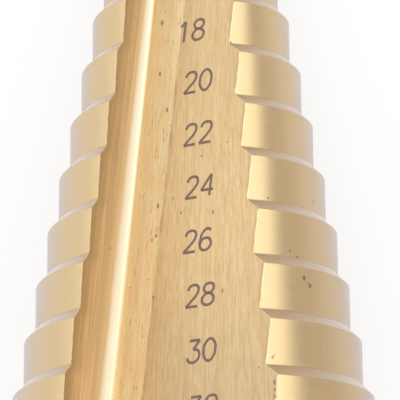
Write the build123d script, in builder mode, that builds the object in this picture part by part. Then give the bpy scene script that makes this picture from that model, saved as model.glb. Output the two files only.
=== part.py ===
from build123d import *
from math import acos, asin, cos, degrees, radians, sin, tan
import os

# Two-flute step drill, one piece of coated tool steel, in millimetres and degrees.
# It is drawn upright: the axis is Z, the tip is up and z = 0 is the back face of the largest step.
# The last section lays it on its side, the way it comes to rest on a bench.

# Steps: a stack of short cylinders joined by sloping shoulders
smallest_diameter = 4.0
diameter_step = 2.0
step_count = 15
step_pitch = 5.0
back_land = 5.0
shoulder_angle = 45.0
shoulder_fillet = 0.3
back_chamfer = 0.6
# How far the shoulders would sink towards the shank in a whole turn behind the cutting edge
relief_lead = 2.3

# Split point
point_angle = 118.0
split_web = 0.3
split_depth = 0.7
split_angle = 65.0

# Shank with drive flats for the jaws of a chuck
shank_diameter = 10.0
shank_length = 22.0
shank_chamfer = 0.8
neck_chamfer = 1.0
flat_count = 3
flat_depth = 0.5
flat_length = 15.0

# Flutes: a narrow rake face and a wide back face that meet in a rounded root.
# Front values hold at the first step's front corner, back values at the last one's.
flute_count = 2
flute_angle = 81.5
web_front = 2.3
web_back = 17.0
rake_offset_front = 0.0
rake_offset_back = 5.3
root_radius_front = 0.6
root_radius_back = 1.6
# The strip of the wide face beside the root dips a little, as far as a crease
root_strip_width = 4.35
root_strip_dip = 0.2

# Room that the cutting tools leave round the body, and the core inside the smallest step
cut_margin = 2.0
core_clearance = 0.3

# Sizes that follow
flute_turn = 360.0 / flute_count
radii = [(smallest_diameter + diameter_step * i) / 2 for i in range(step_count)]
fronts = [back_land + step_pitch * (step_count - 1 - i) for i in range(step_count)]
front_radius, back_radius = radii[0], radii[-1]
front_corner, back_corner = fronts[0], fronts[-1]
shoulder_height = diameter_step / 2 / tan(radians(shoulder_angle))
point_slope = 90 - point_angle / 2
tip = front_corner + front_radius * tan(radians(point_slope))
shank_radius = shank_diameter / 2
core_radius = front_radius - core_clearance
reach = 2 * back_radius


def between(front, back, z):
    """A size that changes evenly from the first step's front corner to the last one's."""
    return front + (back - front) * (front_corner - z) / (front_corner - back_corner)


def at(angle, radius, z=0.0):
    """The point at a distance from the axis, in a direction across it."""
    return radius * cos(radians(angle)), radius * sin(radians(angle)), z


# In a cross-section the wide face of the first flute is level, above the axis. Its rake face
# stands at the right-hand end of it and leans over the flute.
rake_lean = 180 - flute_angle
cutting_angle = rake_lean - degrees(asin(rake_offset_back / back_radius))
heel_angle = 90 + degrees(acos(web_back / 2 / back_radius))
flute_middle = (cutting_angle + heel_angle) / 2


def on_rake(height, z):
    """The point of the rake face at a height over the middle of the cross-section at z."""
    offset = between(rake_offset_front, rake_offset_back, z)
    return (offset + height * cos(radians(rake_lean))) / sin(radians(rake_lean)), height


# One half of the stepped body, from the middle of one flute to the middle of the next. Its
# profile climbs along a helix of small lead: a shoulder is highest at its cutting edge.
with BuildPart() as stepped_half:
    with BuildSketch(Plane.XZ):
        inner_radius = core_radius / 2
        below = -2 * cut_margin
        above = tip + 2 * cut_margin
        outline = [(inner_radius, below), (back_radius, below)]
        hollows = []
        for i in range(step_count - 1, 0, -1):
            hollows.append((radii[i - 1], fronts[i] + shoulder_height))
            outline += [(radii[i], fronts[i]), hollows[-1]]
        outline += [(front_radius, above), (inner_radius, above)]
        with BuildLine():
            Polyline(*outline, close=True)
        profile = make_face()
        fillet([profile.vertices().sort_by_distance(spot)[0] for spot in hollows], shoulder_fillet)
    with BuildLine():
        Helix(pitch=relief_lead, height=relief_lead / flute_count, radius=back_radius)
    sweep(is_frenet=True)

# The space that one flute takes out of the body, from behind the back face to past the tip
with BuildPart() as flute_space:
    for z in (-cut_margin, tip + cut_margin):
        half_web = between(web_front, web_back, z) / 2
        root = on_rake(half_web - root_strip_dip, z)
        crease = (on_rake(half_web, z)[0] - root_strip_width, half_web)
        with BuildSketch(Plane.XY.offset(z)):
            with BuildLine():
                Polyline(root, crease, (-reach, half_web), (-reach, reach), on_rake(reach, z), close=True)
            section = make_face()
            root_radius = between(root_radius_front, root_radius_back, z)
            fillet(section.vertices().sort_by_distance(root)[0], root_radius)
    loft(ruled=True)

# The notch of the split point in front of one lip, a small valley that runs along it
with BuildPart() as split_notch:
    start = split_web / 2
    notch_plane = Plane(
        origin=at(rake_lean, start, tip - start * tan(radians(point_slope))),
        x_dir=at(rake_lean + 90, 1),
        z_dir=at(rake_lean, 1, -tan(radians(point_slope))),
    )
    with BuildSketch(notch_plane):
        with BuildLine():
            rise = split_depth + cut_margin
            bottom = (0, -split_depth)
            Polyline(bottom, (rise * tan(radians(split_angle)), cut_margin), (0, cut_margin), close=True)
        make_face()
    extrude(amount=front_radius + cut_margin)

with BuildPart() as upright:
    # Both halves, set so that the nominal heights hold at the cutting edges
    lead_in = cutting_angle - (flute_middle - flute_turn)
    for i in range(flute_count):
        turn = flute_middle + flute_turn * i
        add(stepped_half.part.moved(Location((0, 0, -relief_lead * lead_in / 360), (0, 0, turn))))
    # Core, then the point and the back face, turned true to the axis
    with BuildSketch(Plane.XZ):
        with Locations((0, -cut_margin)):
            Rectangle(core_radius, above + cut_margin, align=(Align.MIN, Align.MIN))
    revolve(axis=Axis.Z)
    with BuildSketch(Plane.XZ):
        with BuildLine():
            edge = front_radius + core_clearance
            drop = edge * tan(radians(point_slope))
            high = tip + 3 * cut_margin
            Polyline((0, tip), (edge, tip - drop), (edge, high), (0, high), close=True)
        make_face()
    revolve(axis=Axis.Z, mode=Mode.SUBTRACT)
    with BuildSketch(Plane.XZ):
        with BuildLine():
            edge = back_radius + cut_margin
            low = -4 * cut_margin
            Polyline(
                (0, 0),
                (back_radius - back_chamfer, 0),
                (edge, back_chamfer + cut_margin),
                (edge, low),
                (0, low),
                close=True,
            )
        make_face()
    revolve(axis=Axis.Z, mode=Mode.SUBTRACT)
    # Shank, with a sloping neck under the back face and a chamfered end
    with BuildSketch(Plane.XZ):
        with BuildLine():
            neck = shank_radius + neck_chamfer
            end = -shank_length
            Polyline(
                (0, cut_margin),
                (neck, cut_margin),
                (neck, 0),
                (shank_radius, -neck_chamfer),
                (shank_radius, end + shank_chamfer),
                (shank_radius - shank_chamfer, end),
                (0, end),
                close=True,
            )
        make_face()
    revolve(axis=Axis.Z)
    # Drive flats
    with BuildSketch(Plane.XY.offset(-shank_length)):
        with PolarLocations(shank_radius - flat_depth, flat_count, start_angle=flute_middle):
            Rectangle(shank_radius, shank_diameter, align=(Align.MIN, Align.CENTER))
    extrude(amount=flat_length, mode=Mode.SUBTRACT)
    # Flutes and split point
    for i in range(flute_count):
        add(flute_space.part, rotation=(0, 0, flute_turn * i), mode=Mode.SUBTRACT)
        add(split_notch.part, rotation=(0, 0, flute_turn * i), mode=Mode.SUBTRACT)

# Lying on a bench with the first flute up, the drill stands on both front corners of its
# largest step beside the other flute and on whichever corner nearer the tip they meet next
heel_drop = relief_lead * (cutting_angle + flute_turn - heel_angle) / 360
corners = upright.vertices()
cutting_spot = at(cutting_angle + flute_turn, back_radius, back_corner)
heel_spot = at(heel_angle + flute_turn, back_radius, back_corner - heel_drop)
cutting_corner = Vector(*corners.sort_by_distance(cutting_spot)[0])
heel_corner = Vector(*corners.sort_by_distance(heel_spot)[0])
tip_direction = Vector(0, 0, 1)
side = (heel_corner - cutting_corner).normalized()
forward = (tip_direction - side * side.dot(tip_direction)).normalized()
upward = side.cross(forward)
if upward.dot(Vector(*at(flute_middle, 1))) < 0:
    upward = -upward
offsets = [Vector(*corner) - cutting_corner for corner in corners]
slope = min(d.dot(upward) / d.dot(forward) for d in offsets if d.dot(forward) > step_pitch / 2)
bench_normal = (upward - forward * slope).normalized()
bench = Plane(origin=cutting_corner, x_dir=tip_direction.cross(bench_normal), z_dir=bench_normal)

with BuildPart() as step_drill:
    lying = bench.to_local_coords(upright.part)
    box = lying.bounding_box()
    add(lying.moved(Location((-box.center().X, -box.center().Y, -box.min.Z))))

os.makedirs("parts", exist_ok=True)
step_drill.part.label = "step_drill"
export_step(step_drill.part, "parts/step_drill.step")
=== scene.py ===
from math import acos, asin, atan2, cos, degrees, hypot, pi, radians, sin, sqrt, tan

import bmesh
import bpy
from mathutils import Matrix, Vector


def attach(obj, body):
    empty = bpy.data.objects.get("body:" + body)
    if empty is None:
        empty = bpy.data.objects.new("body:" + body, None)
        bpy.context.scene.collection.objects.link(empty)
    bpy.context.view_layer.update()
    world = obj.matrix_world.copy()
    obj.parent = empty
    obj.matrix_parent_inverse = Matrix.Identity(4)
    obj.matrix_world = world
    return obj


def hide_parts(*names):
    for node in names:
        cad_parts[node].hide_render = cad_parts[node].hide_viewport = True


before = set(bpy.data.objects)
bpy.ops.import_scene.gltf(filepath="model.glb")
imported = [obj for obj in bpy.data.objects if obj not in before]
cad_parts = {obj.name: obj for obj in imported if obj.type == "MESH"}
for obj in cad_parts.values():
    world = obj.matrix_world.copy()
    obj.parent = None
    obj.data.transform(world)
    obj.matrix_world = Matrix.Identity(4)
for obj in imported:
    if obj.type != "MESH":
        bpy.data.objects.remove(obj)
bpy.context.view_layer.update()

MM = 0.001

# Sizes of the drill in millimetres and degrees, upright: the axis is Z, the tip is up and
# z = 0 is the back face of the largest step
SMALLEST, GROWTH, STEPS, PITCH, BACK_LAND = 4.0, 2.0, 15, 5.0, 5.0
SHOULDER, BACK_CHAMFER, RELIEF_LEAD = 1.0, 0.6, 2.3
POINT_ANGLE, SPLIT_WEB, SPLIT_DEPTH, SPLIT_ANGLE = 118.0, 0.3, 0.7, 65.0
SHANK, SHANK_LENGTH, SHANK_CHAMFER, NECK_CHAMFER = 5.0, 22.0, 0.8, 1.0
FLATS, FLAT_DEPTH, FLAT_LENGTH = 3, 0.5, 15.0
FLUTE_ANGLE, WEB_FRONT, WEB_BACK = 81.5, 2.3, 17.0
RAKE_FRONT, RAKE_BACK, ROOT_FRONT, ROOT_BACK = 0.0, 5.3, 0.6, 1.6
STRIP_WIDTH, STRIP_DIP = 4.35, 0.2

# Rounding: of the turned rims, of the hollows at the foot of the shoulders, whose curve spreads
# wider than an arc, and of the cut edges sharper than EDGE_ANGLE
RIM, HOLLOW, HOLLOW_SPREAD = 0.05, 0.3, 1.6
EDGE_WIDTH, EDGE_ANGLE, SMOOTH_ANGLE = 0.035, 50, 28

# Facets round the axis, and across a rim, a hollow, a flute's root and an edge
FACETS, RIM_FACETS, HOLLOW_FACETS, ROOT_FACETS, EDGE_FACETS = 180, 3, 5, 14, 2

# How far cutters reach past the body, the area that the facets of a rounded root stay under,
# and the least share of its radius that a pushed-out corner is drawn back to
PAST, ROOT_AREA, LEAST_TRIM = 2.0, 60, 0.99

# Where the grinding marks of a flute would meet, past the tip, and the radius at which the
# marks of the turned faces are as long as they say
FAN_TOP, MARKED_RADIUS = 125.0, 12.0

# The drill's materials, in order
TURNED, WIDE, EDGE, ROOT, RAKE, SLOPE = range(6)

RADII = [(SMALLEST + GROWTH * i) / 2 for i in range(STEPS)]
FRONTS = [BACK_LAND + PITCH * (STEPS - 1 - i) for i in range(STEPS)]
LEAN = 180 - FLUTE_ANGLE
CUTTING_ANGLE = LEAN - degrees(asin(RAKE_BACK / RADII[-1]))
HEEL_ANGLE = 90 + degrees(acos(WEB_BACK / 2 / RADII[-1]))
FLUTE_MIDDLE = (CUTTING_ANGLE + HEEL_ANGLE) / 2
POINT_SLOPE = tan(radians(90 - POINT_ANGLE / 2))
TIP = FRONTS[0] + RADII[0] * POINT_SLOPE

# How it lies: turned round its axis, laid over with the tip a little down, and set on the floor
REST_TURN, REST_DIP = 156.2647, 9.03114
REST_PLACE = Vector((0.0, -26.43525, 13.795006))
LAID = (
    Matrix.Translation(REST_PLACE * MM)
    @ Matrix.Rotation(radians(-90 - REST_DIP), 4, "X")
    @ Matrix.Rotation(radians(REST_TURN), 4, "Z")
    @ Matrix.Scale(MM, 4)
)


def between(front, back, z):
    """A size that changes evenly from the first step's front corner to the last one's."""
    return front + (back - front) * (FRONTS[0] - z) / (FRONTS[0] - FRONTS[-1])


def half_web(z):
    return between(WEB_FRONT, WEB_BACK, z) / 2


def on_rake(height, z):
    """Where the rake face crosses a height in the section at z."""
    return (between(RAKE_FRONT, RAKE_BACK, z) + height * cos(radians(LEAN))) / sin(radians(LEAN))


def relief(x, y):
    """How far the profile has climbed round the axis, from nothing at the cutting edge."""
    behind = (degrees(atan2(y, x)) - FLUTE_MIDDLE) % 180 + FLUTE_MIDDLE - 180
    return RELIEF_LEAD * (behind - CUTTING_ANGLE) / 360


def placed(right, up, back, place):
    """The matrix of a frame with these axes, at a place."""
    made = Matrix((right, up, back)).transposed().to_4x4()
    made.translation = place
    return made


# ---------------------------------------------------------------- camera

SENSOR, LENS, CLIP = 36, 240.8, (0.01, 10)
CAMERA_PLACE = Vector((0.0321919, -0.0290501, 0.2479184))
CAMERA_RIGHT = Vector((0.99052715, -0.02897986, -0.13422872))
CAMERA_UP = Vector((0.04275294, 0.99397842, 0.10089185))


def set_camera():
    lens = bpy.data.cameras.new("view")
    lens.sensor_width = SENSOR
    lens.lens = LENS
    lens.clip_start, lens.clip_end = CLIP
    camera = bpy.data.objects.new("view", lens)
    back = CAMERA_RIGHT.cross(CAMERA_UP)
    camera.matrix_world = placed(CAMERA_RIGHT, CAMERA_UP, back, CAMERA_PLACE)
    bpy.context.scene.collection.objects.link(camera)
    bpy.context.scene.camera = camera


# ---------------------------------------------------------------- node helpers

def feed(tree, value, target):
    """Links a socket to the target, or sets the target to a plain value."""
    if isinstance(value, bpy.types.NodeSocket):
        tree.links.new(value, target)
    else:
        target.default_value = value


def node(tree, kind, at, inputs=None, **settings):
    made = tree.nodes.new(kind)
    made.location = at
    for key, value in settings.items():
        setattr(made, key, value)
    for key, value in (inputs or {}).items():
        feed(tree, value, made.inputs[key])
    return made


def math_node(tree, what, at, first, second=0.0, third=0.0):
    inputs = {0: first, 1: second, 2: third}
    return node(tree, "ShaderNodeMath", at, inputs, operation=what).outputs[0]


def ramp(tree, at, fac, low, high, from_low, from_high):
    """From low to high while fac goes from from_low to from_high, and level outside."""
    return node(
        tree, "ShaderNodeMapRange", at,
        {"Value": fac, "From Min": from_low, "From Max": from_high, "To Min": low, "To Max": high},
        clamp=True,
    ).outputs["Result"]


def tint(tree, at, fac, first, second, how="MIX"):
    """Two colours, mixed or multiplied by a factor."""
    made = node(tree, "ShaderNodeMix", at, {0: fac}, data_type="RGBA", blend_type=how)
    for slot, colour in ((6, first), (7, second)):
        feed(tree, (*colour, 1.0) if isinstance(colour, tuple) else colour, made.inputs[slot])
    return made.outputs[2]


def overlay(tree, at, mask, share, colour, over):
    """A colour with another one over it where the mask is white, at the given share."""
    part = math_node(tree, "MULTIPLY", (at[0] - 60, at[1] - 180), mask, share)
    return tint(tree, at, part, colour, over)


def split(tree, at, vector):
    return node(tree, "ShaderNodeSeparateXYZ", at, {"Vector": vector}).outputs


def join(tree, at, x, y, z=0.0):
    return node(tree, "ShaderNodeCombineXYZ", at, {"X": x, "Y": y, "Z": z}).outputs[0]


def noise(tree, at, place, scale, detail, roughness=0.5):
    inputs = {"Vector": place, "Scale": scale, "Detail": detail, "Roughness": roughness}
    return node(tree, "ShaderNodeTexNoise", at, inputs).outputs


def from_axis(tree, at, parts):
    """The distance from the drill's axis."""
    flat = join(tree, at, parts["X"], parts["Y"])
    out = node(tree, "ShaderNodeVectorMath", (at[0] + 160, at[1]), {0: flat}, operation="LENGTH")
    return out.outputs["Value"]


# ---------------------------------------------------------------- shared effects

def start_group(name, numbers, masks):
    """A group that takes a place and numbers, each (value, least, most), and gives masks."""
    tree = bpy.data.node_groups.new(name, "ShaderNodeTree")
    add = tree.interface.new_socket
    add(name="Place", in_out="INPUT", socket_type="NodeSocketVector")
    for label, (value, least, most) in numbers.items():
        made = add(name=label, in_out="INPUT", socket_type="NodeSocketFloat")
        made.default_value, made.min_value, made.max_value = value, least, most
    for label in masks:
        add(name=label, in_out="OUTPUT", socket_type="NodeSocketFloat")
    start = node(tree, "NodeGroupInput", (-1300, 0))
    end = node(tree, "NodeGroupOutput", (900, 0))
    return tree, start.outputs, end.inputs


def make_grinding_marks():
    """Long fine scratches along Z of the given coordinates, in two sizes."""
    numbers = {"Fineness": (9.0, 0.1, 100.0), "Length": (3.0, 0.1, 100.0)}
    tree, given, wanted = start_group("grinding_marks", numbers, ["Fine", "Broad"])
    parts = split(tree, (-700, 0), given["Place"])
    along = math_node(tree, "DIVIDE", (-520, -160), parts["Z"], given["Length"])
    place = join(tree, (-340, 0), parts["X"], parts["Y"], along)
    coarser = math_node(tree, "MULTIPLY", (-340, -220), given["Fineness"], 0.22)
    fine = noise(tree, (-120, 120), place, given["Fineness"], 4.0, 0.65)
    broad = noise(tree, (-120, -180), place, coarser, 2.0)
    tree.links.new(fine["Fac"], wanted["Fine"])
    tree.links.new(broad["Fac"], wanted["Broad"])
    return tree


def make_specks():
    """Small scattered pits, white where there is one."""
    numbers = {"Spacing": (2.0, 0.01, 100.0), "Size": (0.08, 0.0, 1.0)}
    tree, given, wanted = start_group("specks", numbers, ["Mask"])
    count = math_node(tree, "DIVIDE", (-700, -140), 1.0, given["Spacing"])
    inputs = {"Vector": given["Place"], "Scale": count}
    cells = node(tree, "ShaderNodeTexVoronoi", (-480, 80), inputs).outputs
    pick = node(tree, "ShaderNodeSeparateColor", (-280, -80), {"Color": cells["Color"]})
    size = math_node(tree, "MULTIPLY", (-100, -160), pick.outputs[0], given["Size"])
    inside = math_node(tree, "SUBTRACT", (80, 0), size, cells["Distance"])
    tree.links.new(ramp(tree, (260, 0), inside, 0.0, 1.0, 0.0, 0.03), wanted["Mask"])
    return tree


def make_edge_wear():
    """Patches by how far in from the turned surface, white at the edge of a flute: for wear, and
    for painted glints at the cutting edge.
    """
    numbers = {"Reach": (0.6, 0.01, 5.0), "Raggedness": (0.5, 0.0, 1.0)}
    tree, given, wanted = start_group("edge_wear_glint", numbers, ["Mask"])
    parts = split(tree, (-1100, 0), given["Place"])
    # The radius of the turned body at this height
    level = math_node(tree, "DIVIDE", (-900, -100), parts["Z"], PITCH)
    whole = math_node(tree, "FLOOR", (-700, -100), level)
    part = math_node(tree, "SUBTRACT", (-500, -180), level, whole)
    slope = math_node(tree, "MULTIPLY_ADD", (-320, -180), part, -PITCH, SHOULDER)
    slope = math_node(tree, "MAXIMUM", (-150, -180), slope, 0.0)
    radius = math_node(tree, "SUBTRACT", (-320, 0), RADII[-1], whole)
    radius = math_node(tree, "ADD", (0, 0), radius, slope)
    # How far inside it the place is, torn by noise
    out = from_axis(tree, (-900, 150), parts)
    inside = math_node(tree, "SUBTRACT", (150, 80), radius, out)
    rags = noise(tree, (-100, 350), given["Place"], 3.0, 3.0)
    torn = math_node(tree, "MULTIPLY", (150, 350), rags["Fac"], given["Raggedness"])
    far = math_node(tree, "DIVIDE", (330, 80), inside, given["Reach"])
    worn = math_node(tree, "ADD", (500, 80), far, torn)
    tree.links.new(ramp(tree, (680, 80), worn, 1.0, 0.0, 0.3, 1.0), wanted["Mask"])
    return tree


def grinding(tree, marks, at, place, fineness, length):
    """The Fine and Broad grinding marks at a place."""
    inputs = {"Place": place, "Fineness": fineness, "Length": length}
    return node(tree, "ShaderNodeGroup", at, inputs, node_tree=marks).outputs


def pitting(tree, specks, at, place, spacing, size):
    inputs = {"Place": place, "Spacing": spacing, "Size": size}
    return node(tree, "ShaderNodeGroup", at, inputs, node_tree=specks).outputs["Mask"]


def wearing(tree, wear_and_glint_group, at, place, reach, raggedness):
    inputs = {"Place": place, "Reach": reach, "Raggedness": raggedness}
    return node(tree, "ShaderNodeGroup", at, inputs, node_tree=wear_and_glint_group).outputs["Mask"]


def spots_mask(tree, place, spots, stretch, at):
    """White at each (place, radius), drawn out along the drill by stretch."""
    squeeze = (1.0, 1.0, 1.0 / stretch)
    inputs = {0: place, 1: squeeze}
    short = node(tree, "ShaderNodeVectorMath", at, inputs, operation="MULTIPLY").outputs[0]
    mask = 0.0
    for i, (spot, size) in enumerate(spots):
        x, y = at[0], at[1] - 160 * i
        inputs = {0: short, 1: tuple(a * b for a, b in zip(spot, squeeze))}
        far = node(tree, "ShaderNodeVectorMath", (x + 180, y), inputs, operation="DISTANCE")
        near = ramp(tree, (x + 360, y), far.outputs["Value"], 1.0, 0.0, size * 0.5, size)
        mask = math_node(tree, "MAXIMUM", (x + 540, y), near, mask)
    return mask


def drill_place(tree):
    """Coordinates in millimetres with Z along the drill."""
    coords = node(tree, "ShaderNodeTexCoord", (-1700, 0))
    back = LAID.inverted()
    return node(tree, "ShaderNodeMapping", (-1500, 0), {
        "Vector": coords.outputs["Object"],
        "Scale": (1 / MM,) * 3,
        "Location": tuple(back.translation),
        "Rotation": tuple(back.to_euler()),
    }, vector_type="POINT").outputs[0]


def flute_place(tree, upright):
    """Coordinates alike in both flutes, with Z along the root and the rest closing up towards
    a point past the tip, then how far to the right of the root and how far above it."""
    parts = split(tree, (-1300, 0), upright)
    side = math_node(tree, "SIGN", (-1150, -50), parts["Y"])
    across = math_node(tree, "MULTIPLY", (-1050, 100), parts["X"], side)
    level = math_node(tree, "ABSOLUTE", (-1050, -100), parts["Y"])
    lean = on_rake(half_web(0), 0) - on_rake(half_web(1), 1)
    along = math_node(tree, "MULTIPLY_ADD", (-950, 100), parts["Z"], lean, across)
    from_root = math_node(tree, "SUBTRACT", (-800, 100), along, on_rake(half_web(0), 0))
    fall = half_web(0) - half_web(1)
    above = math_node(tree, "MULTIPLY_ADD", (-950, -100), parts["Z"], fall, level)
    left = math_node(tree, "SUBTRACT", (-950, -250), FAN_TOP, parts["Z"])
    opened = math_node(tree, "DIVIDE", (-800, -250), FAN_TOP, left)
    fanned = math_node(tree, "MULTIPLY", (-650, 0), from_root, opened)
    place = join(tree, (-500, 0), fanned, above, parts["Z"])
    height = math_node(tree, "SUBTRACT", (-800, -100), above, half_web(0))
    return place, from_root, height


# ---------------------------------------------------------------- materials

GOLD_PALE = (0.96, 0.75, 0.43)
GOLD = (0.87, 0.64, 0.33)
GOLD_DEEP = (0.72, 0.485, 0.225)

# Marks on the upper flute and the lands beside it: where, and how wide. The heel is the edge
# between the wide face and the lands, and its chips show on both.
HEEL_CHIPS = [
    ((-12.72, 7.97, 5.9), 0.15), ((-12.80, 7.85, 6.1), 0.10), ((-13.25, 8.6, 3.6), 0.18),
    ((-13.4, 8.8, 2.4), 0.22), ((-13.33, 8.72, 3.0), 0.14),
]
CHIPS = [
    ((-13.49, 3.72, 13.46), 0.24), ((-13.6, 3.25, 13.1), 0.1), ((-13.67, 3.01, 12.88), 0.22),
    ((-10.85, 5.11, 20.63), 0.12), ((-12.34, 4.05, 15.93), 0.12), ((-12.58, 3.25, 15.53), 0.14),
] + HEEL_CHIPS
# Nicks on the lands, drawn near white: painted glints
NICK_GLINTS = [
    ((-10.18, 4.16, 25.46), 0.14), ((-10.3, 4.02, 25.3), 0.10),
    ((-14.77, 2.58, 7.31), 0.12), ((-14.7, 2.7, 7.6), 0.10),
]
STAINS = [
    ((0.06, 4.86, 38.64), 0.17), ((-0.05, 5.4, 33.65), 0.14), ((-1.05, 5.84, 30.01), 0.15),
    ((-0.67, 6.79, 21.02), 0.15), ((-0.23, 7.1, 17.94), 0.12), ((-0.64, 7.09, 18.25), 0.13),
    ((-3.13, 6.92, 20.0), 0.10), ((-6.41, 6.97, 19.61), 0.14), ((-7.75, 7.73, 12.3), 0.13),
] + HEEL_CHIPS


def start_material(name, roughness=0.3, bloom=0.3, haze=(0.80, 0.88, 1.0)):
    """A coated metal; bloom is how strong its hazy sheen is, and haze the sheen's colour."""
    material = bpy.data.materials.new(name)
    material.use_nodes = True
    tree = material.node_tree
    shader = tree.nodes["Principled BSDF"]
    shader.location = (500, 0)
    tree.nodes["Material Output"].location = (800, 0)
    shader.inputs["Metallic"].default_value = 1.0
    shader.inputs["Roughness"].default_value = roughness
    shader.inputs["Coat Weight"].default_value = 0.5
    shader.inputs["Coat Roughness"].default_value = 0.25
    shader.inputs["Specular Tint"].default_value = (0.84, 0.86, 1.0, 1.0)
    shader.inputs["Sheen Weight"].default_value = bloom
    shader.inputs["Sheen Roughness"].default_value = 0.35
    shader.inputs["Sheen Tint"].default_value = (*haze, 1.0)
    return material, tree, shader


def dress(tree, shader, colour, rough, height=None, strength=0.3, depth=0.00002):
    """Links a colour, a roughness and, as fine relief, a height to the shader."""
    tree.links.new(colour, shader.inputs["Base Color"])
    tree.links.new(rough, shader.inputs["Roughness"])
    if height is not None:
        inputs = {"Height": height, "Strength": strength, "Distance": depth}
        bump = node(tree, "ShaderNodeBump", (250, -300), inputs)
        tree.links.new(bump.outputs[0], shader.inputs["Normal"])


def make_ground_gold(name, marks, specks, wear_and_glint_group):
    """Wide flute face, ground along the flute, with a coarser strip beside the root whose colours
    are brightened as painted light.
    """
    material, tree, shader = start_material(name)
    upright = drill_place(tree)
    place, from_root, _ = flute_place(tree, upright)
    lines = grinding(tree, marks, (-650, 200), place, 6.0, 36.0)
    short = grinding(tree, marks, (-650, 600), place, 4.5, 5.0)
    soft = grinding(tree, marks, (-650, -50), place, 3.0, 9.0)
    grooves = grinding(tree, marks, (-650, 800), place, 5.5, 11.0)
    grain = noise(tree, (-650, 450), place, 2.6, 3.0, 0.7)
    pits = pitting(tree, specks, (-650, -300), place, 1.6, 0.09)

    # The strip, and the crease where it ends, dark in patches
    past = math_node(tree, "ADD", (-600, 700), from_root, STRIP_WIDTH)
    strip = ramp(tree, (-450, 700), past, 0.0, 1.0, -0.1, 0.1)
    off_crease = math_node(tree, "ABSOLUTE", (-600, 900), past)
    crease = ramp(tree, (-450, 900), off_crease, 1.0, 0.0, 0.03, 0.2)
    patches = ramp(tree, (-450, 1050), soft["Fine"], 0.0, 1.0, 0.42, 0.62)
    crease = math_node(tree, "MULTIPLY", (-300, 900), crease, patches)

    # The face, darker towards the shank
    both = math_node(tree, "MULTIPLY_ADD", (-560, 300), short["Fine"], 0.8, lines["Fine"])
    contrast = ramp(tree, (-500, 350), both, 0.0, 1.0, 0.70, 1.10)
    colour = tint(tree, (-350, 200), contrast, GOLD_DEEP, GOLD_PALE)
    rosy = ramp(tree, (-350, 560), grain["Color"], 0.0, 1.0, 0.42, 0.58)
    colour = tint(tree, (-260, 300), rosy, colour, (1.02, 0.98, 0.96), "MULTIPLY")
    calm = ramp(tree, (-350, 400), strip, 0.3, 0.0, 0.0, 1.0)
    colour = tint(tree, (-180, 200), calm, colour, GOLD)
    level = split(tree, (-350, 1300), upright)["Z"]
    near_shank = ramp(tree, (-150, 1300), level, 1.0, 0.0, 3.0, 16.0)
    colour = tint(tree, (30, 400), near_shank, colour, (0.85, 0.86, 0.90), "MULTIPLY")

    # The strip's colours, brighter than the face's as painted light, with grooves and scored marks
    coarse = ramp(tree, (-350, 800), grooves["Fine"], 0.0, 1.0, 0.36, 0.62)
    grooved_brightened = tint(tree, (-180, 700), coarse, (1.0, 0.74, 0.40), (1.0, 0.89, 0.59))
    colour = tint(tree, (-100, 500), strip, colour, grooved_brightened)
    scored = ramp(tree, (-350, 950), short["Fine"], 0.0, 0.7, 0.60, 0.70)
    scored = math_node(tree, "MULTIPLY", (-200, 950), scored, strip)
    colour = tint(tree, (-60, 500), scored, colour, (0.52, 0.33, 0.16))

    # Dull clouds, worn edges, the crease, pits and stains
    clouds = ramp(tree, (-180, 380), soft["Broad"], 0.0, 0.2, 0.45, 0.7)
    colour = tint(tree, (0, 200), clouds, colour, GOLD_DEEP)
    worn = wearing(tree, wear_and_glint_group, (-200, 1100), upright, 0.5, 0.7)
    colour = overlay(tree, (60, 600), worn, 0.35, colour, (0.40, 0.26, 0.12))
    colour = overlay(tree, (80, 400), crease, 0.55, colour, (0.30, 0.18, 0.09))
    stains = spots_mask(tree, upright, STAINS, 2.0, (-1000, -700))
    dark = math_node(tree, "MAXIMUM", (0, 0), pits, stains)
    colour = overlay(tree, (170, 200), dark, 0.7, colour, (0.22, 0.12, 0.06))

    rough = ramp(tree, (0, -150), lines["Broad"], 0.42, 0.54, 0.3, 0.7)
    rough = math_node(tree, "MULTIPLY_ADD", (150, -150), strip, 0.20, rough)
    height = math_node(tree, "SUBTRACT", (0, -320), lines["Fine"], dark)
    dress(tree, shader, colour, rough, height)
    return material


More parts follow.
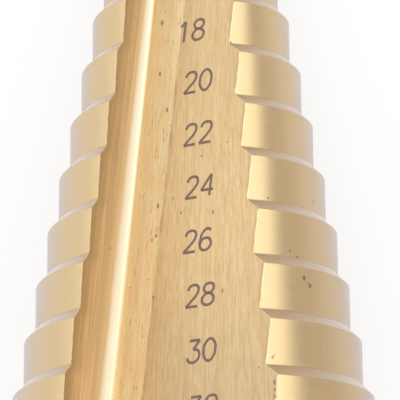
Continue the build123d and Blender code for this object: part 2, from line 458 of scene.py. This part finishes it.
def make_rake_gold(name, marks, specks, wear_and_glint_group):
    """The rake faces, browner and more streaked, paler near the root as a painted reflection,
    darkened along the cutting edge, and chipped there, the chips painted bright as glints.
    """
    material, tree, shader = start_material(name)
    upright = drill_place(tree)
    place, _, above_root = flute_place(tree, upright)
    lines = grinding(tree, marks, (-650, 200), place, 4.0, 30.0)
    pits = pitting(tree, specks, (-650, -300), place, 2.0, 0.10)

    # Streaks, lighter near the root as a painted reflection of the root's highlight, and browner
    # towards the tip
    contrast = ramp(tree, (-350, 300), lines["Fine"], 0.0, 1.0, 0.34, 0.66)
    colour = tint(tree, (-200, 200), contrast, (0.49, 0.325, 0.15), (0.76, 0.55, 0.31))
    bands = ramp(tree, (-350, 480), lines["Broad"], 0.0, 0.35, 0.5, 0.68)
    colour = tint(tree, (-50, 200), bands, colour, (0.45, 0.29, 0.14))
    off_root = math_node(tree, "ABSOLUTE", (-300, 560), above_root)
    root_reflection_paint = ramp(tree, (-150, 560), off_root, 0.55, 0.0, 1.0, 2.4)
    colour = tint(tree, (-20, 350), root_reflection_paint, colour, (0.80, 0.62, 0.41))
    level = split(tree, (-350, 700), upright)["Z"]
    near_tip = ramp(tree, (-150, 700), level, 0.0, 0.8, 8.0, 42.0)
    colour = tint(tree, (0, 500), near_tip, colour, (0.73, 0.67, 0.57), "MULTIPLY")

    # The cutting edge: brown beside it, and on it chips painted bright as glints
    brown = wearing(tree, wear_and_glint_group, (-350, 900), upright, 2.8, 0.35)
    colour = overlay(tree, (60, 400), brown, 0.85, colour, (0.38, 0.265, 0.115))
    chips_and_glints = wearing(tree, wear_and_glint_group, (-350, 1100), upright, 0.22, 1.0)
    painted_edge_glint = ramp(tree, (-150, 1100), chips_and_glints, 0.0, 1.0, 0.45, 0.6)
    colour = overlay(tree, (120, 300), painted_edge_glint, 0.8, colour, (1.0, 0.92, 0.72))
    colour = overlay(tree, (200, 200), pits, 0.7, colour, (0.20, 0.11, 0.05))

    rough = ramp(tree, (0, -150), lines["Broad"], 0.40, 0.52, 0.3, 0.7)
    dress(tree, shader, colour, rough, lines["Fine"])
    return material


def make_root_gold(name, marks):
    """The rounded roots: on one side like the strip beside them, brightened as painted light;
    darker in the hollow and on the rake side as painted shade that narrows the highlight, and
    smoother in the hollow.
    """
    material, tree, shader = start_material(name)
    place, _, above_root = flute_place(tree, drill_place(tree))
    lines = grinding(tree, marks, (-650, 200), place, 5.0, 30.0)
    contrast = ramp(tree, (-350, 300), lines["Fine"], 0.0, 1.0, 0.3, 0.7)
    # The hollow and the rake side kept darker: painted shade that tames the highlight
    hollow_painted_shade = tint(tree, (-150, 200), contrast, (0.60, 0.49, 0.31), (0.68, 0.57, 0.41))
    # The strip side brightened: painted light
    strip = tint(tree, (-150, 0), contrast, (0.98, 0.84, 0.50), (1.0, 0.90, 0.62))
    low = ramp(tree, (-150, 400), above_root, 1.0, 0.0, -0.10, 0.06)
    colour = tint(tree, (50, 200), low, hollow_painted_shade, strip)
    # The rake side dimmed and tinted further: painted shade that narrows the highlight
    high = ramp(tree, (-150, 600), above_root, 0.0, 1.0, 0.1, 0.75)
    colour = tint(tree, (150, 200), high, colour, (1.04, 0.94, 0.84), "MULTIPLY")
    rough = ramp(tree, (0, -150), lines["Broad"], 0.20, 0.28, 0.3, 0.7)
    rough = math_node(tree, "MULTIPLY_ADD", (150, -150), high, 0.24, rough)
    dress(tree, shader, colour, rough)
    return material


def make_turned_gold(name, marks, specks, marked, bloom, haze, deep, pale, blush):
    """Ground round the axis: deep and pale are its colours, for the shoulders darker as painted
    shade;
    blush lies over them in clouds, and if marked it has the chips, and nicks drawn near white as
    painted glints."""
    material, tree, shader = start_material(name, bloom=bloom, haze=haze)
    place = drill_place(tree)
    parts = split(tree, (-1100, 250), place)
    angle = math_node(tree, "ARCTAN2", (-950, 250), parts["Y"], parts["X"])
    swept = math_node(tree, "MULTIPLY", (-800, 250), angle, MARKED_RADIUS)
    out = from_axis(tree, (-1100, 420), parts)
    rings = join(tree, (-500, 300), out, parts["Z"], swept)
    lines = grinding(tree, marks, (-300, 300), rings, 9.0, 14.0)
    contrast = ramp(tree, (-150, 350), lines["Fine"], 0.42, 0.58, 0.3, 0.7)
    colour = tint(tree, (-50, 200), contrast, deep, pale)
    cloud = noise(tree, (-300, 0), place, 0.35, 3.0)
    clouds = ramp(tree, (-50, 0), cloud["Fac"], 0.0, 0.35, 0.45, 0.75)
    colour = tint(tree, (120, 200), clouds, colour, blush)
    dark = pitting(tree, specks, (-300, -250), place, 3.0, 0.06)
    if marked:
        chips = spots_mask(tree, place, CHIPS, 1.2, (-700, -600))
        dark = math_node(tree, "MAXIMUM", (60, -450), dark, chips)
    colour = overlay(tree, (290, 200), dark, 0.75, colour, (0.22, 0.13, 0.06))
    if marked:
        # Nicks drawn near white: painted glints
        nick_glints = spots_mask(tree, place, NICK_GLINTS, 1.0, (-700, -1400))
        colour = overlay(tree, (380, 200), nick_glints, 0.8, colour, (1.0, 0.93, 0.80))
    rough = ramp(tree, (100, -150), lines["Broad"], 0.27, 0.31, 0.3, 0.7)
    dress(tree, shader, colour, rough, lines["Fine"], 0.02, 0.00001)
    return material


def make_worn_edge(name, marks):
    """The narrow rounding of every edge, with a painted highlight in patches."""
    material, tree, shader = start_material(name, 0.4, bloom=0.6, haze=(1.0, 0.95, 0.85))
    lines = grinding(tree, marks, (-650, 200), drill_place(tree), 2.0, 1.0)
    painted_glint = ramp(tree, (-200, 300), lines["Fine"], 0.0, 1.0, 0.40, 0.58)
    colour = tint(tree, (0, 200), painted_glint, (0.78, 0.57, 0.28), (1.0, 0.93, 0.72))
    tree.links.new(colour, shader.inputs["Base Color"])
    return material


def make_laser_brown(name):
    """The burnt brown of the figures."""
    material, tree, shader = start_material(name, 0.55)
    shader.inputs["Metallic"].default_value = 0.0
    grain = noise(tree, (-300, 0), drill_place(tree), 6.0, 3.0)
    colour = tint(tree, (0, 0), grain["Fac"], (0.15, 0.085, 0.06), (0.24, 0.145, 0.105))
    tree.links.new(colour, shader.inputs["Base Color"])
    return material


# ---------------------------------------------------------------- shapes

def mesh_object(name, bm, materials=()):
    mesh = bpy.data.meshes.new(name)
    bm.to_mesh(mesh)
    bm.free()
    for material in materials:
        mesh.materials.append(material)
    made = bpy.data.objects.new(name, mesh)
    bpy.context.scene.collection.objects.link(made)
    return made


def polygon(bm, points):
    return bm.faces.new([bm.verts.new(p) for p in points])


def nearest(verts, point):
    return min(verts, key=lambda v: (v.co - Vector(point)).length)


def round_corner(bm, vert, reach, segments):
    bmesh.ops.bevel(
        bm, geom=[vert], affect="VERTICES", offset=reach, offset_type="OFFSET",
        segments=segments, profile=0.5, material=-1, clamp_overlap=True,
    )


def turned_by(bm, turn):
    matrix = Matrix.Rotation(radians(turn), 3, "Z")
    bmesh.ops.rotate(bm, verts=list(bm.verts), cent=(0, 0, 0), matrix=matrix)
    return bm


def make_turned_body():
    """Shank, back face, fifteen steps and point, spun from half an outline."""
    bm = bmesh.new()
    shank_end = [(SHANK - SHANK_CHAMFER, -SHANK_LENGTH), (SHANK, SHANK_CHAMFER - SHANK_LENGTH)]
    neck = [(SHANK, -NECK_CHAMFER), (SHANK + NECK_CHAMFER, 0)]
    back_rim = [(RADII[-1] - BACK_CHAMFER, 0), (RADII[-1], BACK_CHAMFER)]
    points = [(0, -SHANK_LENGTH), *shank_end, *neck, *back_rim]
    rims, hollows = shank_end + back_rim, []
    for i in range(STEPS - 1, 0, -1):
        rims.append((RADII[i], FRONTS[i]))
        hollows.append((RADII[i - 1], FRONTS[i] + SHOULDER))
        points += [rims[-1], hollows[-1]]
    points += [(RADII[0], FRONTS[0]), (0, TIP)]
    polygon(bm, [(r, 0, z) for r, z in points])
    for r, z in rims:
        round_corner(bm, nearest(bm.verts, (r, 0, z)), RIM, RIM_FACETS)
    hollow_reach = HOLLOW * tan(radians(22.5)) * HOLLOW_SPREAD
    for r, z in hollows:
        round_corner(bm, nearest(bm.verts, (r, 0, z)), hollow_reach, HOLLOW_FACETS)
    # Spin the outline alone, without the edge along the axis
    outline = [e for e in bm.edges if max(abs(v.co.x) for v in e.verts) > 1e-6]
    bmesh.ops.delete(bm, geom=list(bm.faces), context="FACES_ONLY")
    bmesh.ops.delete(bm, geom=[e for e in bm.edges if e not in outline], context="EDGES")
    bmesh.ops.spin(
        bm, geom=list(bm.edges), cent=(0, 0, 0), axis=(0, 0, 1), dvec=(0, 0, 0),
        angle=2 * pi, steps=FACETS, use_merge=True,
    )
    bmesh.ops.remove_doubles(bm, verts=list(bm.verts), dist=1e-5)
    # The relief leaves out the back land and the front of the smallest step
    low, high = FRONTS[-1] - 0.5, FRONTS[1] + SHOULDER + 0.6
    for vert in bm.verts:
        if low < vert.co.z < high:
            vert.co.z += relief(vert.co.x, vert.co.y)
    bmesh.ops.recalc_face_normals(bm, faces=list(bm.faces))
    for face in bm.faces:
        shoulder = face.normal.z > 0.3 and face.calc_center_median().z < FRONTS[0]
        face.material_index = SLOPE if shoulder else TURNED
    return bm


def make_flute_cutter(turn):
    """The space of a flute, between sections behind the back face and past the tip."""
    bm = bmesh.new()
    reach = 2 * RADII[-1]
    for z in (-PAST, TIP + PAST):
        level = half_web(z)
        root = (on_rake(level - STRIP_DIP, z), level - STRIP_DIP, z)
        crease = (on_rake(level, z) - STRIP_WIDTH, level, z)
        outer = [(-reach, level, z), (-reach, reach, z), (on_rake(reach, z), reach, z)]
        polygon(bm, [root, crease, *outer])
        strip_tilt = degrees(atan2(STRIP_DIP, root[0] - crease[0]))
        opening = radians(FLUTE_ANGLE + strip_tilt)
        radius = between(ROOT_FRONT, ROOT_BACK, z)
        round_corner(bm, nearest(bm.verts, root), radius / tan(opening / 2), ROOT_FACETS)
    bmesh.ops.bridge_loops(bm, edges=list(bm.edges))
    bmesh.ops.recalc_face_normals(bm, faces=list(bm.faces))
    for face in bm.faces:
        face.material_index = WIDE
        if face.calc_area() < ROOT_AREA:
            face.material_index = ROOT
        elif face.normal.x > 0.5:
            face.material_index = RAKE
    return turned_by(bm, turn)


def make_split_cutter(turn):
    """The small valley in front of one lip of the point."""
    bm = bmesh.new()
    out = Vector((cos(radians(LEAN)), sin(radians(LEAN)), -POINT_SLOPE)).normalized()
    side = Vector((-sin(radians(LEAN)), cos(radians(LEAN)), 0))
    up = out.cross(side)
    start = Vector((out.x, out.y, 0)).normalized() * (SPLIT_WEB / 2)
    start.z = TIP - SPLIT_WEB / 2 * POINT_SLOPE
    rise = SPLIT_DEPTH + PAST
    face = polygon(bm, [
        start - up * SPLIT_DEPTH,
        start + side * rise * tan(radians(SPLIT_ANGLE)) + up * PAST,
        start + up * PAST,
    ])
    grown = bmesh.ops.extrude_face_region(bm, geom=[face])["geom"]
    moved = [v for v in grown if isinstance(v, bmesh.types.BMVert)]
    bmesh.ops.translate(bm, verts=moved, vec=out * (RADII[0] + PAST))
    bmesh.ops.recalc_face_normals(bm, faces=list(bm.faces))
    return turned_by(bm, turn)


def make_flat_cutter(turn):
    """A block that takes off one drive flat and reaches past the end of the shank."""
    bm = bmesh.new()
    bmesh.ops.create_cube(bm, size=1.0)
    middle = (1.5 * SHANK - FLAT_DEPTH, 0, (FLAT_LENGTH - PAST) / 2 - SHANK_LENGTH)
    bmesh.ops.scale(bm, verts=list(bm.verts), vec=(SHANK, 2 * SHANK, FLAT_LENGTH + PAST))
    bmesh.ops.translate(bm, verts=list(bm.verts), vec=middle)
    return turned_by(bm, turn)


def settle(piece):
    """Applies the piece's modifiers."""
    view = bpy.context.evaluated_depsgraph_get()
    view.update()
    done = bpy.data.meshes.new_from_object(piece.evaluated_get(view))
    old = piece.data
    piece.modifiers.clear()
    piece.data = done
    bpy.data.meshes.remove(old)


def cut(piece, cutters):
    """Takes each cutter out of the piece; the new faces keep the cutter's material numbers."""
    for bm in cutters:
        tool = mesh_object("cutter", bm)
        for material in piece.data.materials:
            tool.data.materials.append(material)
        change = piece.modifiers.new("cut", "BOOLEAN")
        change.operation, change.solver, change.object = "DIFFERENCE", "EXACT", tool
        change.material_mode = "INDEX"
        settle(piece)
        bpy.data.objects.remove(tool)


def turned_radius(place):
    """The radius of the turned body beside a point."""
    whole, part = divmod(place.z - relief(place.x, place.y), PITCH)
    slope = max(0.0, SHOULDER - part) if 0 < whole < STEPS else 0.0
    return min(RADII[-1] - min(whole, STEPS - 1) + slope, RADII[-1] - BACK_CHAMFER + place.z)


def trim_spikes(piece):
    """Draws the corners that the edge rounding pushed out back to the turned surface."""
    for vert in piece.data.vertices:
        out = hypot(vert.co.x, vert.co.y)
        if vert.co.z > 0 and out > turned_radius(vert.co):
            inward = turned_radius(vert.co) / out
            if inward > LEAST_TRIM:
                vert.co.x *= inward
                vert.co.y *= inward


def make_drill(materials):
    drill = mesh_object("coated_step_drill", make_turned_body(), materials)
    cut(drill, [make_flute_cutter(0), make_flute_cutter(180)])
    cut(drill, [make_split_cutter(0), make_split_cutter(180)])
    cut(drill, [make_flat_cutter(FLUTE_MIDDLE + 360 / FLATS * i) for i in range(FLATS)])
    edge = drill.modifiers.new("edges", "BEVEL")
    edge.width, edge.segments, edge.profile = EDGE_WIDTH, EDGE_FACETS, 0.5
    edge.limit_method, edge.angle_limit = "ANGLE", radians(EDGE_ANGLE)
    edge.use_clamp_overlap = False
    edge.material = EDGE
    settle(drill)
    trim_spikes(drill)
    drill.data.transform(LAID)
    drill.data.polygons.foreach_set("use_smooth", [True] * len(drill.data.polygons))
    drill.data.set_sharp_from_angle(angle=radians(SMOOTH_ANGLE))
    flow = drill.modifiers.new("flow", "WEIGHTED_NORMAL")
    flow.keep_sharp = True
    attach(drill, "root")
    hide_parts("step_drill")
    return drill


# Single-stroke figures on a box one high: each stroke is open, closed or sharp, then its points
FIGURES = {
    "0": [
        ("closed", (0.30, 1.0), (0.06, 0.80), (0.0, 0.5), (0.06, 0.20),
         (0.30, 0.0), (0.54, 0.20), (0.60, 0.5), (0.54, 0.80)),
    ],
    "1": [
        ("sharp", (0.12, 0.78), (0.36, 1.0), (0.36, 0.0)),
    ],
    "2": [
        ("open", (0.03, 0.76), (0.12, 0.94), (0.32, 1.0), (0.52, 0.92),
         (0.57, 0.72), (0.47, 0.50), (0.24, 0.25), (0.0, 0.0)),
        ("sharp", (0.0, 0.0), (0.60, 0.0)),
    ],
    "3": [
        ("sharp", (0.04, 1.0), (0.56, 1.0), (0.26, 0.60)),
        ("open", (0.26, 0.60), (0.46, 0.56), (0.58, 0.42), (0.58, 0.20),
         (0.44, 0.04), (0.26, 0.0), (0.08, 0.06), (0.0, 0.22)),
    ],
    "4": [
        ("sharp", (0.46, 0.0), (0.46, 1.0), (0.0, 0.28), (0.62, 0.28)),
    ],
    "6": [
        ("open", (0.54, 0.90), (0.34, 1.0), (0.12, 0.84), (0.02, 0.50), (0.02, 0.28),
         (0.12, 0.06), (0.30, 0.0), (0.50, 0.07), (0.59, 0.28), (0.50, 0.50),
         (0.30, 0.57), (0.10, 0.48), (0.02, 0.30)),
    ],
    "8": [
        ("closed", (0.30, 1.0), (0.10, 0.92), (0.05, 0.76), (0.14, 0.60),
         (0.30, 0.54), (0.46, 0.60), (0.55, 0.76), (0.50, 0.92)),
        ("closed", (0.30, 0.54), (0.10, 0.46), (0.0, 0.27), (0.09, 0.07),
         (0.30, 0.0), (0.51, 0.07), (0.60, 0.27), (0.50, 0.46)),
    ],
}
# In millimetres: the height of a figure, and how far its foot is below the front of its step
FIGURE_HEIGHT, FIGURE_DROP = 1.95, 3.75
# As shares of the height: from one figure to the next, half a figure, how far it leans, and
# the room beside a size, which then has some width to spare
FIGURE_STEP, FIGURE_HALF, FIGURE_LEAN, FIGURE_ROOM, SPARE = 0.80, 0.33, 0.07, 0.25, 1.15
# The width of a stroke in millimetres, how much thicker it is on small figures, how flat it
# is, and where across the face the sizes stand
STROKE, THICKER, FLATNESS, FIGURE_PLACE = 0.26, 0.15, 0.1, 0.6
# Some sizes were marked a little off the line of the rest
NUDGES = {"18": 0.42, "20": -0.2, "22": -0.1, "24": -0.15, "26": 0.15}


def add_stroke(curve, points, closed, shift, size):
    spline = curve.splines.new("BEZIER")
    spline.bezier_points.add(len(points) - 1)
    for point, (x, y) in zip(spline.bezier_points, points):
        point.co = ((x + y * FIGURE_LEAN + shift) * size, y * size, 0)
        point.handle_left_type = point.handle_right_type = "AUTO"
    spline.use_cyclic_u = closed
    spline.resolution_u = 6


def add_figure(curve, letter, shift, size):
    for kind, *points in FIGURES[letter]:
        strokes = list(zip(points, points[1:])) if kind == "sharp" else [points]
        for stroke in strokes:
            add_stroke(curve, stroke, kind == "closed", shift, size)


def draw_size(text, size):
    """The figures of one step size as a flat mesh, centred on their foot."""
    curve = bpy.data.curves.new("figure", "CURVE")
    curve.dimensions = "3D"
    curve.bevel_depth = STROKE / 2 * min(1, size / FIGURE_HEIGHT + THICKER)
    curve.bevel_resolution = 1
    curve.use_fill_caps = True
    for k, letter in enumerate(text):
        shift = k * FIGURE_STEP - (len(text) - 1) * FIGURE_STEP / 2 - FIGURE_HALF
        add_figure(curve, letter, shift, size)
    holder = bpy.data.objects.new("figure", curve)
    drawn = bpy.data.meshes.new_from_object(holder)
    drawn.transform(Matrix.Diagonal((1, 1, FLATNESS, 1)))
    bpy.data.objects.remove(holder)
    bpy.data.curves.remove(curve)
    return drawn


def make_step_sizes(material):
    """The hole sizes, marked by laser along the wide face of the upper flute."""
    bm = bmesh.new()
    up = Vector((0, half_web(1) - half_web(0), 1)).normalized()
    across = Vector((-1, 0, 0))
    out = across.cross(up)
    for i in range(STEPS):
        text = str(int(SMALLEST + GROWTH * i))
        base = FRONTS[i] - FIGURE_DROP
        root = on_rake(half_web(base + 1), base + 1)
        width = root + sqrt(RADII[i] ** 2 - half_web(base + 1) ** 2)
        size = min(FIGURE_HEIGHT, width / (FIGURE_STEP * len(text) + FIGURE_ROOM) / SPARE)
        drawn = draw_size(text, size)
        left = root - width * FIGURE_PLACE + NUDGES.get(text, 0.0)
        drawn.transform(placed(across, up, out, Vector((left, half_web(base), base))))
        bm.from_mesh(drawn)
        bpy.data.meshes.remove(drawn)
    bmesh.ops.transform(bm, matrix=LAID, verts=list(bm.verts))
    sizes = mesh_object("step_sizes", bm, [material])
    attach(sizes, "root")
    return sizes


# ---------------------------------------------------------------- floor and light

# The share of the floor that glows of itself, to the camera and in the metal
FLOOR_GLOW, FLOOR_GLINT = 0.74, 0.15
# Half the side of the floor and of the card, in metres
FLOOR_SIZE, CARD_SIZE, CARD_PLACE = 3.0, 0.5, (0.52, 0.1, 0.0003)
SOFTBOX_PLACE, SOFTBOX_AIM = (0.216, 0.114, 0.422), (-0.022, -0.036, 0.040)
SOFTBOX_WIDTH, SOFTBOX_HEIGHT, SOFTBOX_GLOW = 0.95, 0.76, 1.07


def make_floor():
    """A white paper floor that also glows for the camera, and a little for the metal."""
    bm = bmesh.new()
    bmesh.ops.create_grid(bm, x_segments=1, y_segments=1, size=FLOOR_SIZE)
    material = bpy.data.materials.new("pale_paper")
    material.use_nodes = True
    tree = material.node_tree
    shader = tree.nodes["Principled BSDF"]
    grain = node(tree, "ShaderNodeTexNoise", (-300, 0), {"Scale": 40.0, "Detail": 3.0})
    colour = tint(tree, (-100, 0), grain.outputs["Fac"], (0.73, 0.73, 0.73), (0.77, 0.77, 0.77))
    path = node(tree, "ShaderNodeLightPath", (0, 300))
    colour = tint(tree, (50, 0), path.outputs["Is Camera Ray"], colour, (0.97, 0.97, 0.97))
    tree.links.new(colour, shader.inputs["Base Color"])
    shader.inputs["Roughness"].default_value = 0.9
    glow = node(tree, "ShaderNodeEmission", (300, -200), {"Color": (1, 1, 1, 1), "Strength": 1.0})
    glossy = math_node(tree, "MULTIPLY", (100, 200), path.outputs["Is Glossy Ray"], FLOOR_GLINT)
    seen = path.outputs["Is Camera Ray"]
    share = math_node(tree, "MULTIPLY_ADD", (200, 300), seen, FLOOR_GLOW, glossy)
    mixed = node(tree, "ShaderNodeMixShader", (550, 0))
    tree.links.new(share, mixed.inputs[0])
    tree.links.new(shader.outputs[0], mixed.inputs[1])
    tree.links.new(glow.outputs[0], mixed.inputs[2])
    tree.links.new(mixed.outputs[0], tree.nodes["Material Output"].inputs["Surface"])
    floor = mesh_object("floor", bm, [material])
    return floor


def make_card():
    """A grey card flat on the floor at the right that only shows in the metal."""
    bm = bmesh.new()
    bmesh.ops.create_grid(bm, x_segments=1, y_segments=1, size=CARD_SIZE)
    bmesh.ops.translate(bm, verts=list(bm.verts), vec=CARD_PLACE)
    material = bpy.data.materials.new("grey_card")
    material.use_nodes = True
    tree = material.node_tree
    shader = tree.nodes["Principled BSDF"]
    coords = node(tree, "ShaderNodeTexCoord", (-700, 0))
    away = split(tree, (-500, 0), coords.outputs["Object"])["X"]
    darker = ramp(tree, (-300, 0), away, 0.0, 1.0, 0.02, 0.075)
    colour = tint(tree, (-100, 0), darker, (0.72, 0.72, 0.72), (0.46, 0.42, 0.41))
    tree.links.new(colour, shader.inputs["Base Color"])
    shader.inputs["Roughness"].default_value = 0.9
    card = mesh_object("card", bm, [material])
    card.visible_camera = card.visible_diffuse = False
    card.visible_shadow = card.visible_transmission = False
    return card


def add_panel(name, place, aim, width, height, glow):
    """A rectangular soft light; glow is what its face looks like, with 1 as white."""
    light = bpy.data.lights.new(name, "AREA")
    light.shape = "RECTANGLE"
    light.size, light.size_y = width, height
    light.energy = glow * width * height * pi
    panel = bpy.data.objects.new(name, light)
    panel.location = place
    down = (Vector(place) - Vector(aim)).normalized()
    side = Vector((0, 1, 0)).cross(down).normalized()
    panel.rotation_euler = Matrix((side, down.cross(side), down)).transposed().to_euler()
    bpy.context.scene.collection.objects.link(panel)
    return panel


def set_light():
    """A white room, darker to the right and ahead, and one softbox."""
    world = bpy.data.worlds.new("room")
    bpy.context.scene.world = world
    world.use_nodes = True
    tree = world.node_tree
    back = tree.nodes["Background"]
    back.inputs["Color"].default_value = (1, 1, 1, 1)
    coords = node(tree, "ShaderNodeTexCoord", (-700, 0))
    parts = split(tree, (-500, 0), coords.outputs["Generated"])
    right = ramp(tree, (-300, 0), parts["X"], 1.02, 0.41, -0.5, 0.75)
    ahead = ramp(tree, (-300, -250), parts["Y"], 1.0, 0.4, 0.55, 0.9)
    tree.links.new(math_node(tree, "MULTIPLY", (-100, 0), right, ahead), back.inputs["Strength"])
    sides = SOFTBOX_WIDTH, SOFTBOX_HEIGHT
    add_panel("softbox", SOFTBOX_PLACE, SOFTBOX_AIM, *sides, SOFTBOX_GLOW)


def main():
    set_camera()
    set_light()
    make_floor()
    make_card()
    marks = make_grinding_marks()
    specks = make_specks()
    wear_and_glint_group = make_edge_wear()
    materials = [
        make_turned_gold(
            "turned_gold", marks, specks, marked=True, bloom=0.75, haze=(0.80, 0.82, 1.0),
            deep=(0.79, 0.57, 0.28), pale=(0.87, 0.66, 0.36), blush=(0.82, 0.60, 0.35),
        ),
        make_ground_gold("ground_gold", marks, specks, wear_and_glint_group),
        make_worn_edge("edge_painted_glints", marks),
        make_root_gold("root_gold", marks),
        make_rake_gold("rake_gold", marks, specks, wear_and_glint_group),
        # The shoulders: the same coating with darker colours, as painted shade
        make_turned_gold(
            "slope_gold_painted_shade", marks, specks, marked=False, bloom=1.0, haze=(1.0, 0.96, 1.0),
            deep=(0.60, 0.41, 0.18), pale=(0.78, 0.55, 0.27), blush=(0.68, 0.49, 0.26),
        ),
    ]
    make_drill(materials)
    make_step_sizes(make_laser_brown("laser_brown"))


scene = bpy.context.scene
scene.view_settings.view_transform = "Standard"
main()
